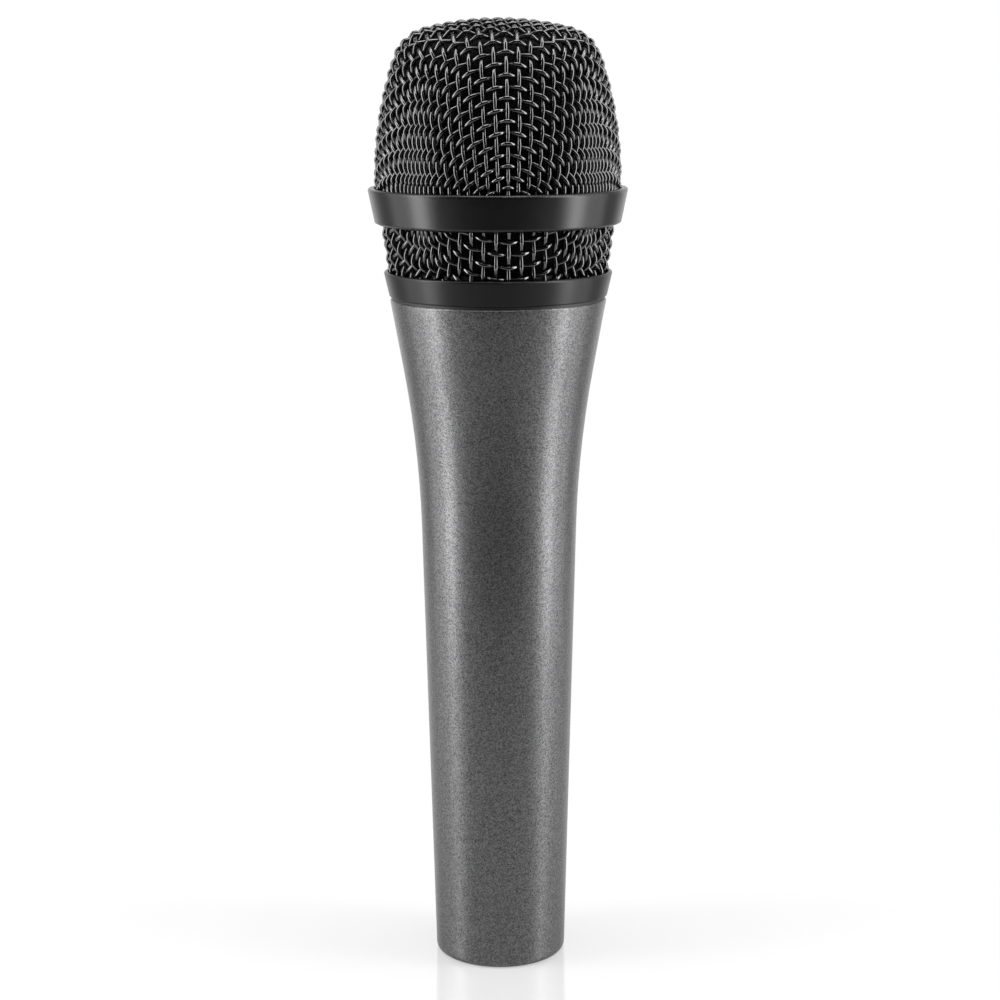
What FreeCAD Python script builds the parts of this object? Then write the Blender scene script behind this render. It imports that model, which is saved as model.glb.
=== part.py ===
"""Handheld dynamic vocal microphone, modelled as the pieces it comes apart into.

Millimetres. +Z runs up the microphone from the connector end, where the origin is, to the crown of
the grille. The front is -Y. Every turned piece is a section in the XZ plane, spun about Z.
"""

import FreeCAD
import Part

import math
import os

from FreeCAD import Vector

OUT = "parts"
AXIS = Vector(0, 0, 1)
ORIGIN = Vector(0, 0, 0)

# ---- driving dimensions ---------------------------------------------------------------------------

# Handle: a cast tube, a slow taper that sweeps into a steep flare below the grille.
BASE_RADIUS = 12.55
BASE_ROUND = 1.2
WAIST_RADIUS = 15.13
WAIST_Z = 100.2
WAIST_ROUND = 200.0
HANDLE_TOP_RADIUS = 20.28
HANDLE_TOP = 128.4
HANDLE_WALL = 1.9
HANDLE_TOP_CHAMFER = 0.25

# Connector end: a three-pin male audio connector sunk in the handle.
SOCKET_RADIUS = 8.1
SOCKET_MOUTH_RADIUS = 8.9
INSERT_FACE = 13.5
INSERT_TOP = 25.5
PIN_RADIUS = 1.2
PIN_ROOT_RADIUS = 1.5
PIN_CIRCLE = 3.81
PIN_TIP = 2.6
PIN_CUP_TOP = 30.5
LOCK_SCREW_Z = 20.0
LOCK_SCREW_RADIUS = 1.25

# Neck: the threaded ring pressed into the top of the handle.
NECK_BORE = 14.6
NECK_SPIGOT_RADIUS = 17.0
NECK_BOTTOM = 119.0
NECK_TOP = 134.3
THREAD_RADIUS = 18.6
THREAD_RELIEF_RADIUS = 18.0
THREAD_CLEARANCE = 0.15

# Grille: two bowls of wire cloth on an outer band, over a screwed collar.
TOTAL_HEIGHT = 180.0
MESH_WALL = 0.75
CROWN_RADIUS = 55.0
CROWN_TURN = 14.3
SHOULDER_RADIUS = 8.2
SHOULDER_TURN = 71.0
SIDE_RADIUS = 68.0
LOWER_MESH_BOTTOM = (20.3, 131.2)
LOWER_MESH_TOP = (22.33, 145.4)
BAND_BOTTOM = 142.35
BAND_TOP = 149.05
BAND_LOW_RADIUS = 22.95
BAND_TOP_RADIUS = 24.25
BAND_WEB = (145.4, 145.9)
COLLAR_BOTTOM = 128.88
COLLAR_TOP = 133.6
COLLAR_LOW_RADIUS = 20.38
COLLAR_TOP_RADIUS = 21.4

# Foam liner: it lines the grille and clears both the wire cloth and the capsule.
FOAM_GAP = 1.85
FOAM_WALL = 4.6
FOAM_BOTTOM = 135.0

# Capsule: the electro-dynamic cartridge, hung in two rubber rings.
CAPSULE_RADIUS = 12.4
HEAD_RADIUS = 14.2
HOUSING_BOTTOM = 126.0
HOUSING_TOP = 158.0
CHAMBER_RADIUS = 10.9
CHAMBER_BOTTOM = 113.0
CHAMBER_TOP = 131.0
CHAMBER_WALL = 1.2
BOARD_THICKNESS = 1.4
LUG_X = 6.5
LUG_HEIGHT = 1.2
MOTOR_BOTTOM = 143.0
MOTOR_TOP = 155.0
DIAPHRAGM_Z = 156.6
DIAPHRAGM_RIM = 12.4
FOIL = 0.15
COIL_INNER = 7.4
COIL_OUTER = 7.8
CAP_TOP = 163.6

WIRE_RADIUS = 0.6
RUN_SHARE = 0.45


# ---- sections -------------------------------------------------------------------------------------


def at(r, z):
    """A point of a section: r out from the axis, z up it."""
    return Vector(r, 0, z)


def section(*steps):
    """The closed face of a section. A step is a corner (r, z), or a round (r, z, r, z): through, to."""
    start = at(*steps[0])
    here = start
    edges = []
    for step in steps[1:]:
        end = at(*step[-2:])
        if len(step) == 4:
            edges.append(Part.Arc(here, at(*step[:2]), end).toShape())
        elif (end - here).Length > 1e-6:
            edges.append(Part.makeLine(here, end))
        here = end
    if (start - here).Length > 1e-6:
        edges.append(Part.makeLine(here, start))
    return Part.Face(Part.Wire(edges))


def turned(*steps):
    """The solid of revolution of a section."""
    return section(*steps).revolve(ORIGIN, AXIS, 360)


def rounded(before, corner, after, radius):
    """The two steps that turn a corner with an arc tangent to both its sides."""
    here = at(*corner)
    back = (at(*before) - here).normalize()
    ahead = (at(*after) - here).normalize()
    half = back.getAngle(ahead) / 2
    reach = radius / math.tan(half)
    centre = here + (back + ahead).normalize() * (radius / math.sin(half))
    middle = centre + (here - centre).normalize() * radius
    first = here + back * reach
    last = here + ahead * reach
    return (first.x, first.z), (middle.x, middle.z, last.x, last.z)


def dome(inset):
    """Steps from the crown of the grille down to its straight side, inset from the outer surface."""
    turns = [0.0, math.radians(CROWN_TURN), math.radians(SHOULDER_TURN), math.pi / 2]
    radii = [CROWN_RADIUS, SHOULDER_RADIUS, SIDE_RADIUS]
    centre = at(0, TOTAL_HEIGHT - CROWN_RADIUS)
    steps = [(0, TOTAL_HEIGHT - inset)]
    for index, radius in enumerate(radii):
        begin, end = turns[index], turns[index + 1]
        middle = (begin + end) / 2
        through = centre + at(math.sin(middle), math.cos(middle)) * (radius - inset)
        to = centre + at(math.sin(end), math.cos(end)) * (radius - inset)
        steps.append((through.x, through.z, to.x, to.z))
        if index < 2:
            centre = centre + at(math.sin(end), math.cos(end)) * (radius - radii[index + 1])
    return steps


def backwards(steps):
    """The same steps walked from their last point to their first."""
    ends = [step[-2:] for step in steps]
    walked = [ends[-1]]
    for index in range(len(steps) - 1, 0, -1):
        through = steps[index][:2] if len(steps[index]) == 4 else ()
        walked.append((*through, *ends[index - 1]))
    return walked


def drilled(solid, radius, low, high, places):
    """The solid with an upright hole at each (x, y) place."""
    for x, y in places:
        solid = solid.cut(Part.makeCylinder(radius, high - low, Vector(x, y, low), AXIS))
    return solid


def around(count, radius, first=0.0):
    """Places (x, y) evenly spaced on a circle, the first at that angle in degrees."""
    angles = [math.radians(first + 360 * index / count) for index in range(count)]
    return [(radius * math.cos(angle), radius * math.sin(angle)) for angle in angles]


# ---- handle and connector -------------------------------------------------------------------------


def outer_radius(z):
    """Radius of the handle's two straight stretches, continued to their corner at the waist."""
    if z < WAIST_Z:
        return BASE_RADIUS + (WAIST_RADIUS - BASE_RADIUS) * z / WAIST_Z
    rise = (z - WAIST_Z) / (HANDLE_TOP - WAIST_Z)
    return WAIST_RADIUS + (HANDLE_TOP_RADIUS - WAIST_RADIUS) * rise


def handle_shell():
    base, waist = (BASE_RADIUS, 0), (WAIST_RADIUS, WAIST_Z)
    shoulder = (HANDLE_TOP_RADIUS, HANDLE_TOP)
    cavity_floor, cone_top = INSERT_TOP + 1, INSERT_TOP + 5
    seat = NECK_BOTTOM - 0.6
    body = turned(
        (SOCKET_MOUTH_RADIUS, 0),
        *rounded((SOCKET_RADIUS, 0), base, waist, BASE_ROUND),
        *rounded(base, waist, shoulder, WAIST_ROUND),
        (outer_radius(HANDLE_TOP - HANDLE_TOP_CHAMFER), HANDLE_TOP - HANDLE_TOP_CHAMFER),
        (HANDLE_TOP_RADIUS - HANDLE_TOP_CHAMFER, HANDLE_TOP),
        (NECK_SPIGOT_RADIUS, HANDLE_TOP),
        (NECK_SPIGOT_RADIUS, NECK_BOTTOM),
        (NECK_SPIGOT_RADIUS - 0.8, NECK_BOTTOM),
        (NECK_SPIGOT_RADIUS - 0.8, seat),
        (WAIST_RADIUS - HANDLE_WALL, WAIST_Z - 9),
        (outer_radius(cone_top) - HANDLE_WALL, cone_top),
        (SOCKET_RADIUS, cavity_floor),
        (SOCKET_RADIUS, SOCKET_MOUTH_RADIUS - SOCKET_RADIUS),
    )
    latch = Part.makeBox(4.4, 2.0, 4.2, Vector(-2.2, -SOCKET_RADIUS - 1.0, 2.8))
    screw_hole = Part.makeCylinder(
        LOCK_SCREW_RADIUS, BASE_RADIUS, Vector(0, SOCKET_RADIUS - 1, LOCK_SCREW_Z), Vector(0, 1, 0)
    )
    return body.cut(latch).cut(screw_hole).fuse(polarising_key()).removeSplitter()


def polarising_key():
    """The rib cast down the socket's wall, which lines the plug up."""
    rib = Part.makeBox(1.8, 2.0, INSERT_FACE - 8.0, Vector(-0.9, -SOCKET_RADIUS - 1.0, 8.0))
    core = Part.makeCylinder(SOCKET_RADIUS - 0.9, INSERT_FACE, ORIGIN, AXIS)
    return rib.cut(core)


def pin_places():
    """Pins 1 and 2 on the left and right, and pin 3 behind them."""
    return [(PIN_CIRCLE, 0), (-PIN_CIRCLE, 0), (0, PIN_CIRCLE)]


def connector_insert():
    disc = turned(
        (0, INSERT_FACE),
        (SOCKET_RADIUS - 0.3, INSERT_FACE),
        (SOCKET_RADIUS, INSERT_FACE + 0.3),
        (SOCKET_RADIUS, INSERT_TOP),
        (0, INSERT_TOP),
    )
    disc = drilled(disc, PIN_ROOT_RADIUS, INSERT_FACE, INSERT_TOP, pin_places())
    screw = Part.makeCylinder(
        LOCK_SCREW_RADIUS, SOCKET_RADIUS, Vector(0, 5.7, LOCK_SCREW_Z), Vector(0, 1, 0)
    )
    return disc.cut(screw)


def contact_pin(x, y):
    """A turned pin: a domed tip, a straight shank, a thick root in the insert, and a solder cup."""
    dome_middle = PIN_RADIUS * math.sqrt(0.5)
    cup_radius, cup_floor = 0.75, PIN_CUP_TOP - 3
    pin = turned(
        (0, PIN_TIP),
        (dome_middle, PIN_TIP + PIN_RADIUS - dome_middle, PIN_RADIUS, PIN_TIP + PIN_RADIUS),
        (PIN_RADIUS, INSERT_FACE),
        (PIN_ROOT_RADIUS, INSERT_FACE),
        (PIN_ROOT_RADIUS, INSERT_TOP),
        (PIN_RADIUS, INSERT_TOP),
        (PIN_RADIUS, PIN_CUP_TOP),
        (cup_radius, PIN_CUP_TOP),
        (cup_radius, cup_floor),
        (0, cup_floor),
    )
    pin.translate(Vector(x, y, 0))
    return pin


def lock_screw():
    """The slotted grub screw that holds the connector insert, seen through the handle's side hole."""
    inner, outer = 5.7, SOCKET_RADIUS + 2.2
    screw = Part.makeCylinder(
        LOCK_SCREW_RADIUS, outer - inner, Vector(0, inner, LOCK_SCREW_Z), Vector(0, 1, 0)
    )
    slot = Part.makeBox(
        2 * LOCK_SCREW_RADIUS, 1.0, 0.45, Vector(-LOCK_SCREW_RADIUS, outer - 0.7, LOCK_SCREW_Z - 0.22)
    )
    return screw.cut(slot)


def ground_spring():
    """The tag under pin 1's solder cup that presses on the cast handle."""
    strip, tip = 0.3, SOCKET_RADIUS - 0.15
    flat = Part.makeBox(tip - 2.2, 3.0, strip, Vector(2.2, -1.5, INSERT_TOP))
    leg = Part.makeBox(strip, 3.0, 1.0, Vector(tip - strip, -1.5, INSERT_TOP))
    return drilled(flat.fuse(leg), PIN_RADIUS, INSERT_TOP, INSERT_TOP + strip, [(PIN_CIRCLE, 0)])


def neck_ring():
    """The threaded neck: its thread is a plain cylinder with a relief below and a lead-in above."""
    lead = 0.5
    relief_top = HANDLE_TOP + 0.9
    return turned(
        (NECK_BORE, NECK_BOTTOM),
        (NECK_SPIGOT_RADIUS, NECK_BOTTOM),
        (NECK_SPIGOT_RADIUS, HANDLE_TOP),
        (THREAD_RELIEF_RADIUS, HANDLE_TOP),
        (THREAD_RELIEF_RADIUS, relief_top),
        (THREAD_RADIUS, relief_top + lead),
        (THREAD_RADIUS, NECK_TOP - lead),
        (THREAD_RADIUS - lead, NECK_TOP),
        (NECK_BORE, NECK_TOP),
    )


# ---- grille ---------------------------------------------------------------------------------------


def slip_washer():
    low, high = HANDLE_TOP + 0.02, COLLAR_BOTTOM - 0.06
    inner, outer = THREAD_RADIUS + 0.25, HANDLE_TOP_RADIUS - 0.3
    return turned((inner, low), (outer, low), (outer, high), (inner, high))


def grille_collar():
    """The screwed ring at the foot of the grille, with a groove that holds the lower wire cloth."""
    bore = THREAD_RADIUS + THREAD_CLEARANCE
    foot = (COLLAR_LOW_RADIUS, COLLAR_BOTTOM + 0.25)
    rim = (COLLAR_TOP_RADIUS, COLLAR_TOP)
    groove_outer = lower_mesh_radius(COLLAR_TOP) + 0.02
    groove_inner = LOWER_MESH_BOTTOM[0] - MESH_WALL
    groove_floor = LOWER_MESH_BOTTOM[1]
    return turned(
        (bore, COLLAR_BOTTOM),
        (COLLAR_LOW_RADIUS - 0.25, COLLAR_BOTTOM),
        foot,
        *rounded(foot, rim, (groove_outer, COLLAR_TOP), 0.35),
        (groove_outer, COLLAR_TOP),
        (groove_outer, groove_floor),
        (groove_inner, groove_floor),
        (groove_inner, groove_floor + 0.9),
        (bore, groove_floor + 0.9),
    )


def lower_mesh_radius(z):
    """Outer radius of the lower wire cloth, which is a cone."""
    (low_r, low_z), (high_r, high_z) = LOWER_MESH_BOTTOM, LOWER_MESH_TOP
    return low_r + (high_r - low_r) * (z - low_z) / (high_z - low_z)


def lower_mesh():
    (low_r, low_z), (high_r, high_z) = LOWER_MESH_BOTTOM, LOWER_MESH_TOP
    return turned((low_r - MESH_WALL, low_z), (low_r, low_z), (high_r, high_z), (high_r - MESH_WALL, high_z))


def upper_mesh():
    """The domed wire cloth, as the shell between its outer surface and the same arcs inset."""
    outer, inner = dome(0), dome(MESH_WALL)
    foot = BAND_WEB[1]
    return turned(
        *outer,
        (outer[-1][-2], foot),
        (inner[-1][-2], foot),
        *backwards(inner),
    )


def band_ring():
    """The flared hoop round the grille's widest line. Its web keeps the two wire cloths apart."""
    web_low, web_high = BAND_WEB
    mesh_side = dome(0)[-1][-2]
    foot, rim = (BAND_LOW_RADIUS, BAND_BOTTOM + 0.35), (BAND_TOP_RADIUS, BAND_TOP)
    skirt = lower_mesh_radius(BAND_BOTTOM) + 0.02
    return turned(
        (skirt, BAND_BOTTOM),
        (BAND_LOW_RADIUS - 0.7, BAND_BOTTOM),
        *rounded((BAND_LOW_RADIUS - 0.7, BAND_BOTTOM), foot, rim, 0.3),
        *rounded(foot, rim, (mesh_side, BAND_TOP), 0.45),
        (mesh_side, BAND_TOP),
        (mesh_side, web_high),
        (mesh_side - MESH_WALL, web_high),
        (mesh_side - MESH_WALL, web_low),
        (LOWER_MESH_TOP[0] + 0.02, web_low),
    )


def clamp_hoop():
    """The inner hoop that presses both wire cloths against the band."""
    web_low, web_high = BAND_WEB
    upper_inside = dome(0)[-1][-2] - MESH_WALL
    foot = web_low - 2.0
    return turned(
        (20.2, foot),
        (lower_mesh_radius(foot) - MESH_WALL - 0.02, foot),
        (LOWER_MESH_TOP[0] - MESH_WALL - 0.02, web_low),
        (upper_inside, web_low),
        (upper_inside, web_high + 2.3),
        (20.9, web_high + 2.3),
        (20.2, web_high + 1.6),
    )


def foam_liner():
    outer, inner = dome(FOAM_GAP), dome(FOAM_GAP + FOAM_WALL)
    hoop_top = BAND_WEB[1] + 2.3
    waist = 19.8
    mouth = 16.4
    return turned(
        *outer,
        (outer[-1][-2], hoop_top + 0.9),
        (waist, hoop_top + 0.4),
        (waist, BAND_WEB[0] - 2.4),
        (lower_mesh_radius(FOAM_BOTTOM) - FOAM_GAP, FOAM_BOTTOM),
        (mouth, FOAM_BOTTOM),
        (mouth, FOAM_BOTTOM + 8),
        *backwards(inner),
    )


# ---- capsule --------------------------------------------------------------------------------------


def upper_suspension():
    """The rubber collar between the capsule and the neck, with a lip over the neck's top edge."""
    low = NECK_TOP - 3.6
    lip = NECK_TOP + 0.9
    bead = (CAPSULE_RADIUS + NECK_BORE) / 2
    return turned(
        (CAPSULE_RADIUS, low),
        (bead, low - 0.8, NECK_BORE, low),
        (NECK_BORE, NECK_TOP),
        (NECK_BORE + 0.8, NECK_TOP),
        (NECK_BORE + 1.1, NECK_TOP + 0.45, NECK_BORE + 0.8, lip),
        (CAPSULE_RADIUS, lip),
    )


def lower_suspension():
    low, high = NECK_BOTTOM + 0.8, NECK_BOTTOM + 4.2
    middle = (CHAMBER_RADIUS + NECK_BORE) / 2
    return turned(
        (CHAMBER_RADIUS, low),
        (middle, low + 0.9, NECK_BORE, low),
        (NECK_BORE, high),
        (middle, high - 0.9, CHAMBER_RADIUS, high),
    )


def capsule_housing():
    """The moulded cup: motor bore above its floor, hum coil below, and slots to the rear inlets."""
    motor_bore = 11.0
    floor_low, floor_high = 138.0, 139.0
    ledge = DIAPHRAGM_Z - 0.1
    cup = turned(
        (CHAMBER_RADIUS, HOUSING_BOTTOM),
        (CAPSULE_RADIUS, HOUSING_BOTTOM),
        (CAPSULE_RADIUS, 137.0),
        (HEAD_RADIUS, 139.5),
        (HEAD_RADIUS, HOUSING_TOP),
        (13.0, HOUSING_TOP),
        (13.0, ledge),
        (motor_bore, ledge),
        (motor_bore, floor_high),
        (3.0, floor_high),
        (3.0, floor_low),
        (CHAMBER_RADIUS, floor_low),
    )
    for x, y in around(8, 1.0):
        slot = Part.makeCylinder(1.0, HEAD_RADIUS + 2, Vector(0, 0, 141), Vector(x, y, 0))
        cup = cup.cut(slot)
    return cup


def front_cap():
    """The capsule's face: a dished cap with rings of sound holes."""
    rim, low = HEAD_RADIUS, HOUSING_TOP
    cap = turned(
        (0, CAP_TOP),
        *rounded((0, CAP_TOP), (rim, CAP_TOP - 0.6), (rim, low), 1.2),
        (rim, low),
        (13.0, low),
        (13.0, CAP_TOP - 2.2),
        (0, CAP_TOP - 1.6),
    )
    rings = [(1, 0.0, 1.3), (6, 3.9, 1.2), (12, 7.4, 1.2), (18, 10.8, 1.2)]
    for count, radius, hole in rings:
        cap = drilled(cap, hole, low, CAP_TOP + 1, around(count, radius, 90 / count))
    return cap


def front_screen():
    """The disc of acoustic cloth under the cap's holes."""
    return turned((0, 160.3), (12.9, 160.3), (12.9, 160.7), (0, 160.7))


def clamp_ring():
    """The ring that clamps the diaphragm's rim to the housing's ledge."""
    low = DIAPHRAGM_Z + FOIL
    return turned((11.2, low), (13.0, low), (13.0, low + 1.3), (11.6, low + 1.3))


def diaphragm_dome():
    """The moving centre of the diaphragm, with the skirt that carries the voice coil."""
    rise, skirt = 1.8, 0.6
    rim = COIL_OUTER
    radius = (rim * rim + rise * rise) / (2 * rise)
    middle = math.asin(rim / radius) / 2
    centre = DIAPHRAGM_Z + rise - radius
    inner = radius - FOIL

    def on(r, turn):
        return r * math.sin(turn), centre + r * math.cos(turn)

    inner_rim = rim - FOIL
    inner_turn = math.asin(inner_rim / inner)
    return turned(
        (0, centre + radius),
        (*on(radius, middle), rim, DIAPHRAGM_Z),
        (rim, DIAPHRAGM_Z - skirt),
        (inner_rim, DIAPHRAGM_Z - skirt),
        on(inner, inner_turn),
        (*on(inner, inner_turn / 2), 0, centre + inner),
    )


def diaphragm_surround():
    """The rolled edge that lets the dome move. It bends, and its rim stays clamped."""
    inner, outer = COIL_OUTER + 0.02, DIAPHRAGM_RIM
    middle = (inner + outer) / 2
    return turned(
        (inner, DIAPHRAGM_Z),
        (middle - 0.4, DIAPHRAGM_Z + 0.7, outer - 1.2, DIAPHRAGM_Z),
        (outer, DIAPHRAGM_Z),
        (outer, DIAPHRAGM_Z + FOIL),
        (outer - 1.2, DIAPHRAGM_Z + FOIL),
        (middle - 0.4, DIAPHRAGM_Z + 0.7 + FOIL, inner, DIAPHRAGM_Z + FOIL),
    )


def voice_coil():
    """The winding under the dome's skirt, in the motor's gap."""
    low, high = 152.4, DIAPHRAGM_Z - 0.6
    return turned((COIL_INNER, low), (COIL_OUTER, low), (COIL_OUTER, high), (COIL_INNER, high))


def magnet_yoke():
    """The steel cup round the magnet, with the lip that forms the outside of the gap."""
    floor, wall, lip = MOTOR_BOTTOM + 2, 9.2, 8.2
    lip_low = MOTOR_TOP - 2.4
    return turned(
        (0, MOTOR_BOTTOM),
        (11.0, MOTOR_BOTTOM),
        (11.0, MOTOR_TOP),
        (lip, MOTOR_TOP),
        (lip, lip_low),
        (wall, lip_low),
        (wall, floor),
        (0, floor),
    )


def magnet():
    return Part.makeCylinder(6.6, 7.4, Vector(0, 0, MOTOR_BOTTOM + 2), AXIS)


def pole_piece():
    return Part.makeCylinder(7.0, MOTOR_TOP - MOTOR_BOTTOM - 9.4, Vector(0, 0, MOTOR_BOTTOM + 9.4), AXIS)


def resistance_felt():
    """The felt ring that damps the rear inlets."""
    return turned((8.6, 139.0), (11.0, 139.0), (11.0, 142.8), (8.6, 142.8))


def coil_bobbin():
    """The spool of the hum-cancelling coil."""
    core, flange, low, high = 7.4, 10.9, 131.0, 138.0
    return turned(
        (6.4, low),
        (flange, low),
        (flange, low + 0.9),
        (core, low + 0.9),
        (core, high - 0.9),
        (flange, high - 0.9),
        (flange, high),
        (6.4, high),
    )


def hum_coil():
    return turned((7.4, 131.9), (10.4, 131.9), (10.4, 137.1), (7.4, 137.1))


def rear_chamber():
    """The closed cup behind the capsule, whose air tunes its low range."""
    inner = CHAMBER_RADIUS - CHAMBER_WALL
    cup = turned(
        (0, CHAMBER_BOTTOM),
        (CHAMBER_RADIUS, CHAMBER_BOTTOM),
        (CHAMBER_RADIUS, CHAMBER_TOP),
        (inner, CHAMBER_TOP),
        (inner, CHAMBER_BOTTOM + CHAMBER_WALL),
        (0, CHAMBER_BOTTOM + CHAMBER_WALL),
    )
    return drilled(cup, 0.8, CHAMBER_BOTTOM, CHAMBER_BOTTOM + 2, [(0, 4.0)])


def terminal_board():
    low = CHAMBER_BOTTOM - BOARD_THICKNESS
    board = Part.makeCylinder(CHAMBER_RADIUS - 0.6, BOARD_THICKNESS, Vector(0, 0, low), AXIS)
    return drilled(board, 1.0, low, CHAMBER_BOTTOM, [(0, 4.0)])


def solder_lugs():
    """The board's two solder posts, as one node of two solids."""
    low = CHAMBER_BOTTOM - BOARD_THICKNESS - LUG_HEIGHT
    posts = [Part.makeCylinder(1.1, LUG_HEIGHT, Vector(side * LUG_X, 0, low), AXIS) for side in (1, -1)]
    return Part.makeCompound(posts)


# ---- wiring ---------------------------------------------------------------------------------------


def wire(name, points):
    """A lead: straight runs joined by tangent arcs, each as large as its two runs allow."""
    spots = [Vector(*point) for point in points]
    edges = []
    here = spots[0]
    for index in range(1, len(spots) - 1):
        back = spots[index - 1] - spots[index]
        ahead = spots[index + 1] - spots[index]
        shorter = min(back.Length, ahead.Length)
        turn = math.pi - back.getAngle(ahead)
        reach = RUN_SHARE * shorter
        radius = reach / math.tan(turn / 2)
        back.normalize()
        ahead.normalize()
        first, last = spots[index] + back * reach, spots[index] + ahead * reach
        inward = (back + ahead).normalize()
        centre = spots[index] + inward * (radius / math.cos(turn / 2))
        middle = centre - inward * radius
        edges.append(Part.LineSegment(here, first).toShape())
        edges.append(Part.Arc(first, middle, last).toShape())
        here = last
        print(f"{name}: bend {index} has a radius of {radius:.1f} mm")
    edges.append(Part.LineSegment(here, spots[-1]).toShape())
    path = Part.Wire(edges)
    circle = Part.Wire(Part.makeCircle(WIRE_RADIUS, spots[0], spots[1] - spots[0]))
    tube = path.makePipeShell([circle], True, False)
    expected = math.pi * WIRE_RADIUS**2 * path.Length
    print(f"{name}: {path.Length:.1f} mm long, volume {tube.Volume / expected:.4f} of its section's")
    return tube


def leads():
    """The hot and cold leads run down opposite sides of the handle, with a little slack."""
    cup = PIN_CUP_TOP - 3
    lug = CHAMBER_BOTTOM - BOARD_THICKNESS - LUG_HEIGHT
    hot = [
        (-LUG_X, 0, lug),
        (-LUG_X, 0, 101),
        (-8.3, 1.2, 87),
        (-7.6, -2.0, 71),
        (-8.2, -2.4, 56),
        (-7.4, 1.2, 43.5),
        (-PIN_CIRCLE, 0, 35),
        (-PIN_CIRCLE, 0, cup),
    ]
    cold = [
        (LUG_X, 0, lug),
        (LUG_X, 0, 102),
        (8.4, -1.6, 88),
        (7.8, 2.0, 73),
        (7.9, 2.6, 57),
        (6.9, 5.0, 44.5),
        (0, PIN_CIRCLE, 36),
        (0, PIN_CIRCLE, cup),
    ]
    return {"lead_hot": wire("lead_hot", hot), "lead_cold": wire("lead_cold", cold)}


# ---- assembly -------------------------------------------------------------------------------------


def nodes():
    one, two, three = pin_places()
    return {
        "handle_shell": handle_shell(),
        "neck_ring": neck_ring(),
        "connector_insert": connector_insert(),
        "contact_pin_1": contact_pin(*one),
        "contact_pin_2": contact_pin(*two),
        "contact_pin_3": contact_pin(*three),
        "lock_screw": lock_screw(),
        "ground_spring": ground_spring(),
        "upper_suspension": upper_suspension(),
        "lower_suspension": lower_suspension(),
        **leads(),
        "slip_washer": slip_washer(),
        "foam_liner": foam_liner(),
        "grille_collar": grille_collar(),
        "lower_mesh": lower_mesh(),
        "band_ring": band_ring(),
        "clamp_hoop": clamp_hoop(),
        "upper_mesh": upper_mesh(),
        "capsule_housing": capsule_housing(),
        "front_cap": front_cap(),
        "front_screen": front_screen(),
        "clamp_ring": clamp_ring(),
        "diaphragm_surround": diaphragm_surround(),
        "diaphragm_dome": diaphragm_dome(),
        "voice_coil": voice_coil(),
        "magnet_yoke": magnet_yoke(),
        "magnet": magnet(),
        "pole_piece": pole_piece(),
        "resistance_felt": resistance_felt(),
        "coil_bobbin": coil_bobbin(),
        "hum_coil": hum_coil(),
        "rear_chamber": rear_chamber(),
        "terminal_board": terminal_board(),
        "solder_lugs": solder_lugs(),
    }


os.makedirs(OUT, exist_ok=True)
for node, shape in nodes().items():
    shape.exportStep(os.path.join(OUT, node + ".step"))
    solids = shape.Solids
    print(f"{node}: {len(solids)} solid, {shape.Volume:.0f} mm3, valid {shape.isValid()}")
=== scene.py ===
"""Looks of a handheld vocal microphone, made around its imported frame.

Metres. +Z runs up the microphone from its connector end, and -Y is its front.
"""

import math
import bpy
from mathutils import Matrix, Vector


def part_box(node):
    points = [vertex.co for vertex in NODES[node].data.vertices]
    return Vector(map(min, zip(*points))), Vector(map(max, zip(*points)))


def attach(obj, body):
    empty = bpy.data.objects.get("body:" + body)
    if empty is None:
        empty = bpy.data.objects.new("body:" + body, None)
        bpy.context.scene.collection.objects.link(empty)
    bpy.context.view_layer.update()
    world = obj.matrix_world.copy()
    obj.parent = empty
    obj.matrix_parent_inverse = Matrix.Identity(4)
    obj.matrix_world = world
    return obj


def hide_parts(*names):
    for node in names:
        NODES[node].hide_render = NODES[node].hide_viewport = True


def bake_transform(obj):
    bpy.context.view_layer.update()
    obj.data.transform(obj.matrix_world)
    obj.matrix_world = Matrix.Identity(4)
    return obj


bl_info = {
    "name": "Vocal Microphone",
    "version": (1, 0, 0),
    "blender": (4, 5, 0),
    "location": "3D View > Sidebar > Microphone",
    "description": "Finishes, woven grille, foam, threads and windings of a vocal microphone",
    "category": "Object",
}

import bmesh
import bpy
import numpy as np
from bpy.props import FloatProperty, FloatVectorProperty, IntProperty, PointerProperty
from mathutils import Vector, noise

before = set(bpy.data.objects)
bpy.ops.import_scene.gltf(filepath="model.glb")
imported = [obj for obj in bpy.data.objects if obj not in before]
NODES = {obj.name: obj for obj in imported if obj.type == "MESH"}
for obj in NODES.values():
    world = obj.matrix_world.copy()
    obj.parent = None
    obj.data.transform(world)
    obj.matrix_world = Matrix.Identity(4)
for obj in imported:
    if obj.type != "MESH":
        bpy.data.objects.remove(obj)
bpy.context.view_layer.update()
MM = 0.001


# ---- sizes and colours ----------------------------------------------------------------------------


def length(name, description, default):
    """A size of the microphone, in metres."""
    return FloatProperty(
        name=name, description=description, default=default, min=0.0, unit="LENGTH", precision=5
    )


def colour(name, description, default):
    return FloatVectorProperty(
        name=name, description=description, default=default, size=3, min=0, max=1, subtype="COLOR"
    )


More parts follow.
